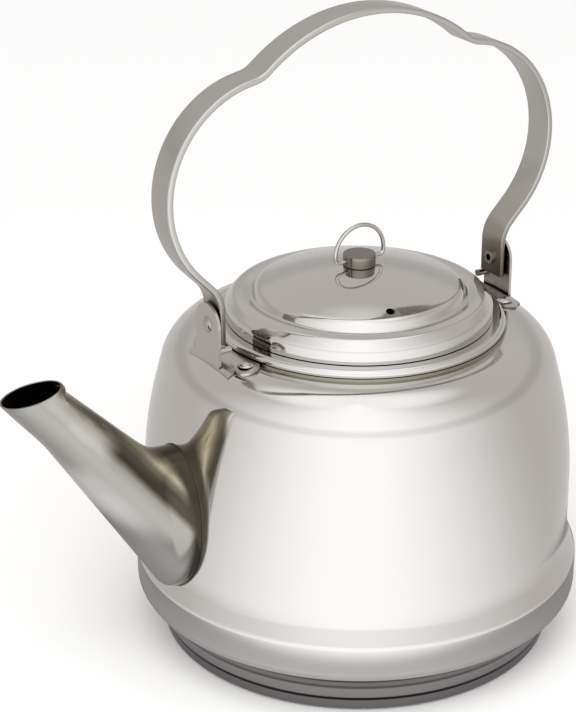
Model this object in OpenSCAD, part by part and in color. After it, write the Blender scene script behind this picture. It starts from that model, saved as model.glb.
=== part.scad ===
// Camping kettle in drawn stainless steel: lift-off lid with a wire ring, bail handle, tapered spout.
// Millimetres. The origin is the centre of the base on the table, +Z is up, the spout points along +X.

/* [Body] */
// Outer radius of the wall at its widest straight part
wall_r = 92; // [84:1:100]
// Thickness of the drawn body sheet
sheet = 0.8; // [0.6:0.1:1.2]
// Height of the table side of the body seam
seam_h = 5.7; // [5.2:0.1:7]
// Distance that the seam lies inside the wall
seam_in = 7; // [5.4:0.1:9]
// Distance that the crease above the seam lies inside the wall
crease_in = 5; // [4:0.1:6.6]
// Height of the crease above the seam
crease_h = 12.7; // [12:0.1:14]
// Rounding of the crease above the seam
crease_round = 2; // [1:0.1:3]
// Distance that the foot bulge lies outside the wall
bulge_out = 4.2; // [3:0.1:6]
// Height of the lower corner of the foot bulge
bulge_h = 22; // [20:0.5:25]
// Rounding of the lower corner of the foot bulge
bulge_round = 6; // [3:0.5:7]
// Height of the ridge along the top of the foot bulge
ridge_h = 36; // [33:0.5:38]
// Rounding of the ridge
ridge_round = 5; // [3:0.5:8]
// Height of the waist, where the bulge meets the wall
waist_h = 46; // [44:0.5:52]
// Rounding of the waist
waist_round = 20; // [10:1:30]
// Depth below the shoulder at which the wall starts to lean inwards
lean_drop = 46.3; // [42:0.1:52]
// Rounding of the wall where it starts to lean
lean_round = 180; // [100:5:190]
// Distance that the corner of the shoulder lies inside the wall
lean_in = 11.9; // [8:0.1:14]
// Height of the shoulder where it meets the neck ring
shoulder_h = 138.8; // [132:0.1:150]
// Rise of the shoulder from its corner to the neck ring
shoulder_rise = 0.6; // [0.2:0.1:1.2]
// Rounding of the shoulder
shoulder_round = 20; // [14:0.5:21]

/* [Mouth and neck ring] */
// Inner radius of the neck ring, where the lid collar drops in
mouth_r = 53.6; // [48:0.2:54]
// Thickness of the neck ring sheet
ring_sheet = 0.8; // [0.6:0.1:1]
// Height of the lid seat above the shoulder
seat_rise = 4.4; // [3.6:0.1:6]
// Distance that the rolled bead lies outside the mouth
bead_over = 8.4; // [6:0.1:9]
// Share of the bead's height that is rounded
bead_full = 0.98; // [0.8:0.01:0.99]
// Depth of the neck ring collar below the shoulder
collar_drop = 8; // [5:0.5:12]

/* [Base] */
// Thickness of the vessel floor and of its rim
floor_sheet = 0.8; // [0.6:0.1:1.2]
// Height of the rim of the vessel floor above the seam
floor_rim = 6; // [4:0.5:8]
// Rounding between the vessel floor and its rim
floor_round = 2; // [1:0.1:3]
// Thickness of the aluminium heat disc
disc_t = 3.6; // [3:0.1:4]
// Distance that the heat disc lies inside the seam
disc_in = 7; // [6:0.5:12]
// Thickness of the base cap sheet
cap_sheet = 0.7; // [0.5:0.1:1]
// Rounding of the edge of the base cap
cap_round = 2; // [1.5:0.1:4]
// Distance that the flat of the base cap draws in below the seam
cap_in = 0.4; // [0.2:0.1:2]

/* [Spout] */
// Distance of the mouth centre from the kettle axis
mouth_x = 152.9; // [146:0.1:160]
// Height of the mouth centre
mouth_z = 141.9; // [138:0.1:148]
// Half length of the mouth, from the wall side to the pouring edge
mouth_half_l = 13.2; // [11:0.1:15]
// Half width of the mouth
mouth_half_w = 9.1; // [8:0.1:11]
// Slope of the mouth plane, down towards the pouring edge
mouth_slope = 9; // [0:1:20]
// Angle of the spout axis above the horizontal
spout_angle = 50.5; // [46:0.5:54]
// Radius of the spout tube at the mouth
spout_r = 9; // [8:0.1:10]
// Growth of the tube radius for each millimetre down the axis
spout_taper = 0.111; // [0.09:0.001:0.13]
// Thickness of the spout sheet
spout_sheet = 0.8; // [0.6:0.1:1.2]
// Height of the centre of the spout root on the wall
root_z = 72; // [68:0.5:76]
// Half height of the spout root
root_half_h = 31; // [28:0.5:33]
// Half width of the spout root
root_half_w = 21.2; // [19:0.1:23]
// Length of the mouth flare along the axis
mouth_bend = 17; // [12:0.5:20]
// Extra length of the mouth flare on the pouring side
mouth_bend_more = 6; // [0:0.5:8]
// Length of the root flare along the axis
root_bend = 15; // [10:0.5:18]
// Extra length of the root flare on the upper side
root_bend_more = 4; // [0:0.5:8]
// Share of the root flare that leaves the wall squarely
root_square = 0.45; // [0.3:0.01:0.6]
// Width of wall left between the strainer holes and the spout
strainer_edge = 2; // [1:0.5:5]
// Diameter of the strainer holes in the wall behind the spout
strainer_d = 6; // [3:0.5:7]
// Distance between strainer holes
strainer_pitch = 9.5; // [8:0.5:12]

/* [Handle] */
// Distance of the outer face of the handle strip outside the neck bead, at the pivots
strip_over = 9.5; // [8:0.1:10]
// Width of the handle strip
strip_w = 14; // [11:0.5:16]
// Thickness of the handle strip
strip_t = 2.6; // [1.8:0.1:3]
// Height of the pivots above the shoulder
pivot_rise = 15.2; // [14:0.1:18]
// Length of the strip below the pivot
strip_tail = 7.6; // [6:0.1:8]
// Length of the upright strip above the pivot
strip_upright = 6.6; // [5:0.1:10]
// Angle by which the strip splays outwards
splay = 44; // [38:1:50]
// Radius of the splay bend, at the middle of the strip
splay_r = 15; // [12:0.5:20]
// Straight run from the splay bend to the lobe
splay_run = 8.4; // [4:0.2:12]
// Radius of the side lobes, at the middle of the strip
lobe_r = 45.6; // [40:0.2:50]
// Angle that each lobe turns through
lobe_turn = 124; // [118:1:130]
// Radius of the dip beside the grip
dip_r = 12; // [8:0.5:20]
// Angle that each dip turns back
dip_turn = 30; // [20:1:34]
// Straight run between lobe and dip
dip_run = 1.6; // [0:0.1:6]

/* [Brackets] */
// Thickness of the bracket sheet
ear_t = 1.2; // [1:0.1:1.6]
// Width of the ear
ear_w = 18; // [16:0.5:20]
// Half length of the foot flange along the shoulder
flange_half = 22; // [20:0.5:24]
// Distance from the flange middle to each flange rivet
flange_rivet_y = 15.8; // [14:0.1:17]
// Distance of the flange rivets inboard of the ear
flange_rivet_in = 7.4; // [6.8:0.1:8]
// Half width of the flange lobes
lobe_half = 5; // [4.2:0.1:5]
// Thickness of the washer between strip and ear
washer_t = 1; // [0.8:0.1:1.4]
// Diameter of the pivot washer
washer_d = 9; // [8:0.5:11]
// Diameter of the stop stud
stud_d = 2.9; // [2:0.1:3]
// Length of the stop stud, inwards from the ear
stud_l = 5.2; // [3:0.1:6]
// Depth of the stop stud below the pivot
stud_down = 9.8; // [9.6:0.1:11]
// Distance of the stop stud from the middle of the ear
stud_side = 7.3; // [7:0.1:7.5]

/* [Rivets] */
// Shank diameter of the pivot rivets
pivot_d = 4.2; // [3.5:0.1:5]
// Head diameter of the pivot rivets
pivot_head_d = 6.8; // [6:0.1:8]
// Diameter of the rolled inner end of the pivot rivets
pivot_roll_d = 5.8; // [5.6:0.1:7]
// Bore of the hollow inner end of the pivot rivets
pivot_bore = 2.8; // [2:0.1:3]
// Shank diameter of the flange rivets
rivet_d = 3.2; // [2.5:0.1:4]
// Head diameter of the flange rivets
rivet_head_d = 6.8; // [5.5:0.1:7.5]
// Diameter of the upset tails of the flange rivets
tail_d = 5.1; // [4.5:0.1:6]
// Height of the upset tails of the flange rivets
tail_h = 1.2; // [0.8:0.1:1.5]
// Height of every rivet head
head_h = 1.3; // [1:0.1:1.8]
// Outer diameter of the burr washers inside the shoulder
burr_d = 7; // [6:0.5:9]
// Thickness of the burr washers
burr_t = 0.8; // [0.6:0.1:1.2]

/* [Lid] */
// Thickness of the lid sheet
lid_sheet = 0.7; // [0.5:0.1:0.9]
// Distance that the lid edge lies outside the mouth
lid_over = 2.9; // [2.6:0.1:4.4]
// Height of the top of the dome above the lid edge
dome_rise = 21.3; // [18:0.1:24]
// Distance that the edge of the dome lies inside the mouth
dome_in = 15.6; // [15:0.1:17]
// Height of the dome's edge above the lid edge
dome_edge_rise = 14.9; // [14:0.1:15.6]
// Distance that the bottom of the groove lies inside the mouth
groove_in = 8.2; // [7.4:0.1:8.8]
// Height of the bottom of the groove above the lid edge
groove_rise = 8.8; // [8:0.1:9.4]
// Distance that the crest of the rim lies inside the mouth
crest_in = 3; // [2.1:0.1:3.6]
// Height of the crest of the rim above the lid edge
crest_rise = 10.1; // [9.8:0.1:10.8]
// Width and drop of the rim that carries the dome on to its rolled edge
dome_step = [5.2, 1.8];
// Half width of the flat crest, towards the groove and towards the edge
crest_half = [1.6, 2.4];
// Fall of the crest towards the edge
crest_fall = 0.6; // [0.2:0.1:1]
// Depth below the crest at which the edge turns upright
brow_drop = 4.6; // [4:0.1:6]
// Roundings from the dome outwards: rolled edge, groove, crest, brow and edge
lid_rounds = [4, 1.2, 2.2, 2.6, 4];
// Radial clearance between lid collar and neck ring
collar_clear = 0.6; // [0.3:0.1:1.2]
// Length of the lid collar below the lid edge
collar_l = 9; // [6:0.5:14]
// Rounding at the top of the lid collar
collar_round = 1.5; // [1:0.1:2.5]
// Distance that the collar's flange reaches inside the groove
collar_lap = 2; // [1:0.1:3]
// Diameter of the steam hole
vent_d = 3.6; // [2:0.1:5]
// Distance of the steam hole from the middle of the lid
vent_r = 38.1; // [30:0.1:40]
// Direction of the steam hole, from the spout
vent_angle = 75.7; // [0:0.1:180]

/* [Knob and wire ring] */
// Diameter of the knob
knob_d = 13.9; // [12:0.1:16]
// Height of the knob
knob_h = 4.9; // [4.6:0.1:7]
// Rounding of the knob's top edge
knob_edge = 0.4; // [0.2:0.1:0.8]
// Thickness of the knob above its threaded hole
knob_roof = 1.2; // [1:0.1:2]
// Diameter of the ring wire
wire_d = 1.75; // [1.4:0.05:2.2]
// Radius of the wire loop, at the middle of the wire
loop_r = 12; // [10.5:0.1:13]
// Angle below the middle of the loop at which its feet turn in
leg_angle = 14; // [10:1:35]
// Depth of each foot inside the knob
foot_in = 2.6; // [1.5:0.1:3]
// Lean of the wire ring from the upright
ring_lean = 1; // [0:1:30]
// Thread diameter of the knob screw
screw_d = 4; // [3:0.5:4]
// Head diameter of the knob screw
screw_head_d = 7.6; // [6:0.1:8]
// Height of the screw's head
screw_head_h = 1.8; // [1.2:0.1:2.4]
// Outer diameter of the knob washer
knob_washer_d = 10; // [9:0.5:14]
// Thickness of the knob washer
knob_washer_t = 0.8; // [0.6:0.1:1.2]

/* [Fits] */
// Gap of a welded or riveted seat
weld_gap = 0.05; // [0.03:0.01:0.1]
// Gap between moving faces
run_gap = 0.2; // [0.15:0.01:0.3]
// Gap below the lid edge
seat_gap = 0.3; // [0.2:0.05:0.4]

/* [Hidden] */

arc_steps = 9;         // chords in each rounded corner of a turned outline
round_fn = 96;         // facets of the round parts in the preview
spout_sides = 48;      // points round the spout
bend_steps = 7;        // rings in each blended end of the spout
big = 400;             // longer than the kettle
cut_over = 1;          // how far a drill starts outside the piece
upright = 90;          // heading of a line that goes straight up
mouth_pull = [4, 5];   // reach of the mouth flare's curve at the mouth and at the tube

// Levels and radii that several pieces share
seam_r = wall_r - seam_in;
floor_h = cap_sheet + disc_t + 2 * weld_gap;
lean_h = shoulder_h - lean_drop;
corner_r = wall_r - lean_in;
corner_h = shoulder_h - shoulder_rise;
bead_r = mouth_r + bead_over;
seat_h = shoulder_h + seat_rise;
pivot_h = shoulder_h + pivot_rise;
strip_x = bead_r + strip_over;
strip_in_x = strip_x - strip_t;
ear_in_x = strip_x + washer_t;
ear_out_x = ear_in_x + ear_t;
rivet_x = ear_in_x - flange_rivet_in;
lid_z = seat_h + seat_gap;
lid_r = mouth_r + lid_over;
crest_r = mouth_r - crest_in;
groove_r = mouth_r - groove_in;
dome_r = mouth_r - dome_in;
dome_top = lid_z + dome_rise;
knob_top = dome_top + knob_h;
hinge_h = dome_top + knob_h / 2;
wire_hole_d = wire_d + run_gap;
rivet_hole_d = rivet_d + 2 * weld_gap;

// ---- outlines: points are [radius, height, rounding] ----

function unit(v) = v / norm(v);

// Points of the arc that rounds the corner b between a and c
function corner_arc(a, b, c, radius) =
    let (u = unit(a - b), w = unit(c - b), half = acos(u * w) / 2,
         centre = b + unit(u + w) * radius / sin(half),
         p = b + u * radius / tan(half) - centre, q = b + w * radius / tan(half) - centre,
         start = atan2(p.y, p.x), turn = (atan2(q.y, q.x) - start + 540) % 360 - 180)
    [for (i = [0 : arc_steps]) centre + radius * [cos(start + turn * i / arc_steps),
                                                  sin(start + turn * i / arc_steps)]];

function flat(p) = [p.x, p.y];

function rounded(p) = [for (i = [0 : len(p) - 1])
    each p[i].z > 0 ? corner_arc(flat(p[i - 1]), flat(p[i]), flat(p[i + 1]), p[i].z) : [flat(p[i])]];

// The same line moved sideways by d, to the left of its direction of travel
function shifted(p, d) = [for (i = [0 : len(p) - 1])
    let (t = unit(p[min(i + 1, len(p) - 1)] - p[max(i - 1, 0)])) p[i] + d * [-t.y, t.x]];

function reversed(p) = [for (i = [len(p) - 1 : -1 : 0]) p[i]];

// A sheet of thickness t on the left of an outline
function sheet_outline(p, t) = concat(p, [for (q = reversed(shifted(p, t))) [max(q.x, 0), q.y]]);

body_line = rounded([
    [seam_r, seam_h, 0],
    [wall_r - crease_in, crease_h, crease_round],
    [wall_r + bulge_out, bulge_h, bulge_round],
    [wall_r + bulge_out, ridge_h, ridge_round],
    [wall_r, waist_h, waist_round],
    [wall_r, lean_h, lean_round],
    [corner_r, corner_h, shoulder_round],
    [mouth_r + ring_sheet + weld_gap, shoulder_h, 0]]);

// Outer radius of the body at a height on the wall, and height of the shoulder at a radius
function wall_at(z) = lookup(z, [for (p = body_line) [p.y, p.x]]);
function shoulder_at(r) = lookup(-r, [for (p = body_line) if (p.y > lean_h) [-p.x, p.y]]);

module turned(p) { rotate_extrude($fn = round_fn) polygon(p); }

// ---- body ----

module body_shell() color("silver") difference() {
    turned(sheet_outline(body_line, sheet));
    strainer_holes();
    flange_rivet_holes(rivet_hole_d);
}

// Rows of holes through the wall, inside the oval of the spout root
module strainer_holes() {
    edge = strainer_d / 2 + spout_sheet + strainer_edge;
    rows = floor((root_half_h - edge) / strainer_pitch);
    columns = floor((root_half_w - edge) / strainer_pitch);
    for (row = [-rows : rows], column = [-columns : columns])
        if (pow(row * strainer_pitch / (root_half_h - edge), 2)
            + pow(column * strainer_pitch / (root_half_w - edge), 2) <= 1)
            translate([0, column * strainer_pitch, root_z + row * strainer_pitch])
                rotate([0, 90, 0]) cylinder(d = strainer_d, h = big, $fn = 24);
}

module neck_ring() color("gainsboro") {
    bead = seat_rise / 2;
    turned(sheet_outline(rounded([
        [bead_r - bead, shoulder_h + weld_gap, 0],
        [bead_r, shoulder_h + weld_gap, bead * bead_full],
        [bead_r, seat_h, bead * bead_full],
        [mouth_r, seat_h, ring_sheet + 0.4],
        [mouth_r, shoulder_h - collar_drop, 0]]), ring_sheet));
}

// ---- base ----

// The floor's rim follows the inner face of the body sheet upwards from the seam
module floor_pan() color("silver") {
    lean = unit([seam_in - crease_in, crease_h - seam_h]);
    at_seam = [seam_r, seam_h] + (sheet + weld_gap) * [-lean.y, lean.x];
    top = at_seam + lean * floor_rim;
    corner = at_seam - lean * (at_seam.y - floor_h) / lean.y;
    turned(sheet_outline(rounded([
        [0, floor_h, 0],
        [corner.x, corner.y, floor_round],
        [top.x, top.y, 0]]), floor_sheet));
}

module heat_disc() color("darkgray")
    translate([0, 0, cap_sheet + weld_gap])
        cylinder(r = seam_r - disc_in, h = disc_t, $fn = round_fn);

module base_cap() color("dimgray")
    turned(sheet_outline(rounded([
        [0, 0, 0],
        [seam_r - cap_in, 0, cap_round],
        [seam_r, seam_h - weld_gap, 0]]), cap_sheet));

// ---- spout ----

spout_dir = [cos(spout_angle), 0, sin(spout_angle)];
spout_up = [-sin(spout_angle), 0, cos(spout_angle)];

// Bezier curve through four points
function bezier(a, b, c, d, t) =
    pow(1 - t, 3) * a + 3 * t * pow(1 - t, 2) * b + 3 * t * t * (1 - t) * c + pow(t, 3) * d;

// A point of the tapered tube, s millimetres below the mouth centre, at angle a round it
function tube(a, s, inset) = [mouth_x, 0, mouth_z] - s * spout_dir
    + (spout_r + spout_taper * s - inset) * (cos(a) * spout_up + sin(a) * [0, 1, 0]);

// A point of the mouth edge: angle 0 is the wall side, 180 the pouring edge
function mouth(a, inset) = [mouth_x, 0, mouth_z]
    - (mouth_half_l - inset) * cos(a) * [cos(mouth_slope), 0, -sin(mouth_slope)]
    + (mouth_half_w - inset) * sin(a) * [0, 1, 0];

// A point of the root edge, on the wall
function root(a, inset) =
    let (y = (root_half_w - inset) * sin(a), z = root_z + (root_half_h - inset) * cos(a))
    [sqrt(pow(wall_at(z) + weld_gap, 2) - y * y), y, z];

// Distances down the axis at which the plain tube starts and ends, for each angle
function tube_start(a) = mouth_bend - mouth_bend_more * cos(a);
function tube_end(a, inset) =
    (tube(a, 0, inset) - root(a, inset)) * spout_dir - root_bend - root_bend_more * cos(a);

// One line down the spout at angle a: mouth flare, plain tube, root flare
function spout_line(a, inset) =
    let (m = mouth(a, inset), s = tube_start(a), e = tube_end(a, inset), r = root(a, inset),
         p = tube(a, s, inset), q = tube(a, e, inset), reach = norm(q - r) * root_square,
         down = unit(tube(a, 1, inset) - tube(a, 0, inset)))
    concat(
        [for (i = [0 : bend_steps])
            bezier(m, m + down * mouth_pull[0], p - down * mouth_pull[1], p, i / bend_steps)],
        [for (i = [1 : 3]) p + (q - p) * i / 4],
        [for (i = [0 : bend_steps])
            bezier(q, q + down * reach, r + reach * unit([r.x, r.y, 0]), r, i / bend_steps)]);

module spout() color("silver") {
    outer = [for (k = [0 : spout_sides - 1]) spout_line(360 * k / spout_sides, 0)];
    inner = [for (k = [0 : spout_sides - 1]) spout_line(360 * k / spout_sides, spout_sheet)];
    rings = len(outer[0]);
    points = concat([for (k = [0 : spout_sides - 1], i = [0 : rings - 1]) outer[k][i]],
                    [for (k = [0 : spout_sides - 1], i = [0 : rings - 1]) inner[k][i]]);
    shift = spout_sides * rings;
    faces = [for (k = [0 : spout_sides - 1])
        let (a = k * rings, b = ((k + 1) % spout_sides) * rings)
        each concat(
            [for (i = [0 : rings - 2]) each [[a + i, a + i + 1, b + i + 1], [a + i, b + i + 1, b + i]]],
            [for (i = [0 : rings - 2]) each [[a + i + shift, b + i + 1 + shift, a + i + 1 + shift],
                                             [a + i + shift, b + i + shift, b + i + 1 + shift]]],
            [[a, b, b + shift], [a, b + shift, a + shift]],
            [[a + rings - 1, b + rings - 1 + shift, b + rings - 1],
             [a + rings - 1, a + rings - 1 + shift, b + rings - 1 + shift]])];
    polyhedron(points, faces, convexity = 6);
}

// ---- brackets and rivets: drawn at the spout side, turned half round for the rear ----

module at_rear() { rotate([0, 0, 180]) children(); }

module flange_rivet_places() {
    for (side = [-1, 1]) translate([rivet_x, side * flange_rivet_y, 0]) children();
}

module flange_rivet_holes(d) {
    for (turn = [0, 180]) rotate([0, 0, turn]) flange_rivet_places()
        translate([0, 0, lean_h]) cylinder(d = d, h = big, $fn = 24);
}

// Plan of the foot flange: a bar with a rounded lobe round each rivet
module flange_plan() {
    translate([rivet_x, -flange_rivet_y]) square([ear_out_x - rivet_x, 2 * flange_rivet_y]);
    translate([rivet_x - lobe_half, -flange_rivet_y]) square([2 * lobe_half, 2 * flange_rivet_y]);
    for (side = [-1, 1]) {
        translate([rivet_x, side * flange_rivet_y]) circle(lobe_half, $fn = 48);
        translate([rivet_x, side * (flange_half - lobe_half)]) circle(lobe_half, $fn = 48);
        translate([rivet_x - lobe_half, min(side * flange_rivet_y, side * (flange_half - lobe_half))])
            square([2 * lobe_half, abs(flange_half - lobe_half - flange_rivet_y)]);
    }
}

// A band of sheet that lies on the shoulder
module shoulder_band(t) {
    start = bead_r + run_gap;
    band = [for (p = shifted(body_line, -weld_gap)) if (p.y > lean_h && p.x > start + run_gap) p];
    turned(sheet_outline(concat(band, [[start, shoulder_at(start) + weld_gap]]), -t));
}

module bracket() {
    difference() {
        union() {
            intersection() {
                linear_extrude(big) flange_plan();
                shoulder_band(ear_t);
            }
            difference() {
                translate([ear_in_x, 0, 0]) rotate([90, 0, 90]) linear_extrude(ear_t) {
                    translate([0, pivot_h]) circle(d = ear_w, $fn = 64);
                    translate([-ear_w / 2, lean_h]) square([ear_w, pivot_h - lean_h]);
                }
                below_shoulder();
            }
        }
        translate([0, 0, pivot_h]) rotate([0, 90, 0])
            cylinder(d = pivot_d + 2 * weld_gap, h = big, $fn = 32);
        flange_rivet_places() translate([0, 0, lean_h]) cylinder(d = rivet_hole_d, h = big, $fn = 24);
    }
}

// Everything under the face on which the flange lies
module below_shoulder() {
    top = [for (p = shifted(body_line, -weld_gap)) if (p.y > lean_h) p];
    turned(concat([[0, 0], [top[0].x, 0]], top, [[0, shoulder_h + weld_gap]]));
}

module front_bracket() color("lightgray") bracket();
module rear_bracket() color("lightgray") at_rear() bracket();

// Domed rivet head: a slice of a ball, flat side down
module dome_head(d, h) {
    ball = (d * d / 4 + h * h) / (2 * h);
    intersection() {
        translate([0, 0, h - ball]) sphere(ball, $fn = 64);
        cylinder(d = d, h = h, $fn = 48);
    }
}

// The flange rivets stand upright on the nearly level shoulder
flange_top = shoulder_at(norm([rivet_x - rivet_head_d / 2, flange_rivet_y])) + ear_t + 2 * weld_gap;
flange_under = shoulder_at(norm([rivet_x, flange_rivet_y]) + burr_d / 2) - sheet - 2 * weld_gap;

rivet_tail = flange_under - burr_t - weld_gap - tail_h;

module flange_rivets() {
    flange_rivet_places() {
        translate([0, 0, flange_top]) dome_head(rivet_head_d, head_h);
        translate([0, 0, rivet_tail])
            cylinder(d = rivet_d, h = flange_top + head_h / 2 - rivet_tail, $fn = 24);
        translate([0, 0, rivet_tail]) cylinder(d = tail_d, h = tail_h, $fn = 24);
    }
}

module burr_washers() {
    flange_rivet_places() translate([0, 0, flange_under - burr_t]) difference() {
        cylinder(d = burr_d, h = burr_t, $fn = 32);
        translate([0, 0, -cut_over]) cylinder(d = rivet_hole_d, h = burr_t + 2 * cut_over, $fn = 24);
    }
}

module front_flange_rivets() color("whitesmoke") flange_rivets();
module rear_flange_rivets() color("whitesmoke") at_rear() flange_rivets();
module front_burr_washers() color("darkgray") burr_washers();
module rear_burr_washers() color("darkgray") at_rear() burr_washers();

module stop_stud() translate([ear_in_x - stud_l, stud_side, pivot_h - stud_down]) rotate([0, 90, 0])
    cylinder(d = stud_d, h = stud_l - weld_gap, $fn = 24);

module front_stop_stud() color("whitesmoke") stop_stud();
module rear_stop_stud() color("whitesmoke") at_rear() stop_stud();

// ---- handle ----

// End of an arc that starts at p with heading h and turns by a, to the left when a is positive
function arc_points(p, h, r, a, n) = [for (i = [1 : n])
    let (b = h + a * i / n, s = sign(a)) p + s * r * [sin(b) - sin(h), cos(h) - cos(b)]];
function last(p) = p[len(p) - 1];

// Middle line of the strip, from the pivot end up to the top of the grip
tail_end = [strip_x - strip_t / 2, pivot_h - strip_tail];
upright_end = [tail_end.x, pivot_h + strip_upright];
lobe_heading = upright - splay;
dip_heading = lobe_heading + lobe_turn;
grip_heading = dip_heading - dip_turn;
splay_line = arc_points(upright_end, upright, splay_r, -splay, 6);
lobe_start = last(splay_line) + splay_run * [cos(lobe_heading), sin(lobe_heading)];
lobe_line = arc_points(lobe_start, lobe_heading, lobe_r, lobe_turn, 20);
dip_start = last(lobe_line) + dip_run * [cos(dip_heading), sin(dip_heading)];
dip_line = arc_points(dip_start, dip_heading, dip_r, -dip_turn, 5);
grip_start = last(dip_line);
grip_r = grip_start.x / sin(180 - grip_heading);
grip_line = arc_points(grip_start, grip_heading, grip_r, 180 - grip_heading, 9);
half_line = concat([tail_end, upright_end], splay_line, [lobe_start], lobe_line,
                   [dip_start], dip_line, grip_line);
strip_line = concat(half_line, [for (i = [len(half_line) - 2 : -1 : 0]) [-half_line[i].x, half_line[i].y]]);

module handle_strip() color("gray") difference() {
    rotate([90, 0, 0]) linear_extrude(strip_w, center = true)
        polygon(concat(shifted(strip_line, -strip_t / 2), reversed(shifted(strip_line, strip_t / 2))));
    translate([-big / 2, 0, pivot_h]) rotate([0, 90, 0])
        cylinder(d = pivot_d + 2 * weld_gap, h = big, $fn = 32);
}

// Half-hollow rivet: a domed head outside the ear, a rolled hollow end inside the strip
module pivot_rivet() translate([0, 0, pivot_h]) rotate([0, 90, 0]) {
    inner = strip_in_x - weld_gap;
    outer = ear_out_x + weld_gap;
    translate([0, 0, outer]) dome_head(pivot_head_d, head_h);
    difference() {
        union() {
            translate([0, 0, inner - head_h / 2]) cylinder(d = pivot_d, h = outer - inner + head_h / 2,
                                                           $fn = 32);
            translate([0, 0, inner - head_h]) cylinder(d = pivot_roll_d, h = head_h, $fn = 48);
        }
        translate([0, 0, inner - 2 * head_h]) cylinder(d = pivot_bore, h = strip_t + 2 * head_h, $fn = 32);
    }
}

module pivot_washer() translate([strip_x + weld_gap, 0, pivot_h]) rotate([0, 90, 0]) difference() {
    cylinder(d = washer_d, h = washer_t - 2 * weld_gap, $fn = 48);
    translate([0, 0, -cut_over])
        cylinder(d = pivot_d + 2 * weld_gap, h = washer_t + 2 * cut_over, $fn = 32);
}

module front_pivot_rivet() color("whitesmoke") pivot_rivet();
module rear_pivot_rivet() color("whitesmoke") at_rear() pivot_rivet();
module front_pivot_washer() color("darkgray") pivot_washer();
module rear_pivot_washer() color("darkgray") at_rear() pivot_washer();

// ---- lid: heights are above the lid edge ----

dome_sag = dome_rise - dome_edge_rise;
dome_ball = (dome_r * dome_r + dome_sag * dome_sag) / (2 * dome_sag);
function dome_at(r) = lid_z + dome_rise - dome_ball + sqrt(dome_ball * dome_ball - r * r);

// Outline of the lid's outer face, from the middle to the edge
lid_line = concat(
    [for (i = [0 : 10]) [dome_r * i / 10, dome_at(dome_r * i / 10)]],
    [for (p = rounded([
        [dome_r, dome_edge_rise, 0],
        [dome_r + dome_step.x, dome_edge_rise - dome_step.y, lid_rounds[0]],
        [groove_r, groove_rise, lid_rounds[1]],
        [crest_r - crest_half[0], crest_rise, lid_rounds[2]],
        [crest_r + crest_half[1], crest_rise - crest_fall, lid_rounds[3]],
        [lid_r, crest_rise - brow_drop, lid_rounds[4]],
        [lid_r, 0, 0]])) if (p.x > dome_r) [p.x, lid_z + p.y]]);

module lid_shell() color("silver") difference() {
    turned(sheet_outline(lid_line, -lid_sheet));
    rotate([0, 0, vent_angle]) translate([vent_r, 0, lid_z]) cylinder(d = vent_d, h = big, $fn = 32);
    translate([0, 0, lid_z]) cylinder(d = screw_d + 2 * run_gap, h = big, $fn = 32);
}

// Collar that drops into the neck, with a flange spot-welded under the groove
module lid_collar() color("gainsboro") {
    top = lid_z + groove_rise - lid_sheet - weld_gap;
    turned(sheet_outline(rounded([
        [mouth_r - collar_clear, lid_z - collar_l, 0],
        [mouth_r - collar_clear, top, collar_round],
        [groove_r - collar_lap, top, 0]]), lid_sheet));
}

module knob() color("silver") difference() {
    turned([[0, dome_top], [knob_d / 2, dome_top], [knob_d / 2, knob_top - knob_edge],
            [knob_d / 2 - knob_edge, knob_top], [0, knob_top]]);
    for (side = [-1, 1]) translate([side * knob_d / 2, 0, hinge_h]) rotate([0, 90, 0])
        cylinder(d = wire_hole_d, h = 2 * (foot_in + run_gap), center = true, $fn = 24);
    translate([0, 0, dome_top - cut_over]) cylinder(d = screw_d, h = cut_over + screw_depth, $fn = 32);
}

screw_depth = knob_h - knob_roof;
under_dome = dome_at(knob_washer_d / 2) - lid_sheet - weld_gap;
washer_under = under_dome - knob_washer_t;

module knob_screw() color("darkgray") {
    translate([0, 0, washer_under - weld_gap]) rotate([180, 0, 0]) dome_head(screw_head_d, screw_head_h);
    translate([0, 0, washer_under - weld_gap])
        cylinder(d = screw_d - weld_gap, h = dome_top + screw_depth - washer_under, $fn = 32);
}

module knob_washer() color("darkgray") translate([0, 0, washer_under]) difference() {
    cylinder(d = knob_washer_d, h = knob_washer_t, $fn = 48);
    translate([0, 0, -cut_over])
        cylinder(d = screw_d + 2 * run_gap, h = knob_washer_t + 2 * cut_over, $fn = 32);
}

// ---- wire ring: drawn in its own plane, hinge line along X ----

loop_h = loop_r * sin(leg_angle);
corner_x = loop_r * cos(leg_angle);
foot_end = knob_d / 2 - foot_in;
corner_ball = wire_d * 1.08; // a little fatter than the wire, so that it joins it cleanly

module wire_ring() color("silver")
    translate([0, 0, hinge_h]) rotate([-ring_lean, 0, 0]) union() {
        translate([0, 0, loop_h]) rotate([90, 0, 0]) rotate([0, 0, -leg_angle])
            rotate_extrude(angle = 180 + 2 * leg_angle, $fn = round_fn)
                translate([loop_r, 0]) circle(d = wire_d, $fn = 24);
        for (side = [-1, 1]) {
            translate([side * corner_x, 0, 0]) sphere(d = corner_ball, $fn = 32);
            translate([side * (foot_end + corner_x) / 2, 0, 0]) rotate([0, 90, 0])
                cylinder(d = wire_d, h = corner_x - foot_end, center = true, $fn = 24);
        }
    }

body_shell();
neck_ring();
floor_pan();
heat_disc();
base_cap();
spout();
front_bracket();
rear_bracket();
front_flange_rivets();
rear_flange_rivets();
front_burr_washers();
rear_burr_washers();
front_stop_stud();
rear_stop_stud();
handle_strip();
front_pivot_rivet();
rear_pivot_rivet();
front_pivot_washer();
rear_pivot_washer();
lid_shell();
lid_collar();
knob();
knob_screw();
knob_washer();
wire_ring();
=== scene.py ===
import math

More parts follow.
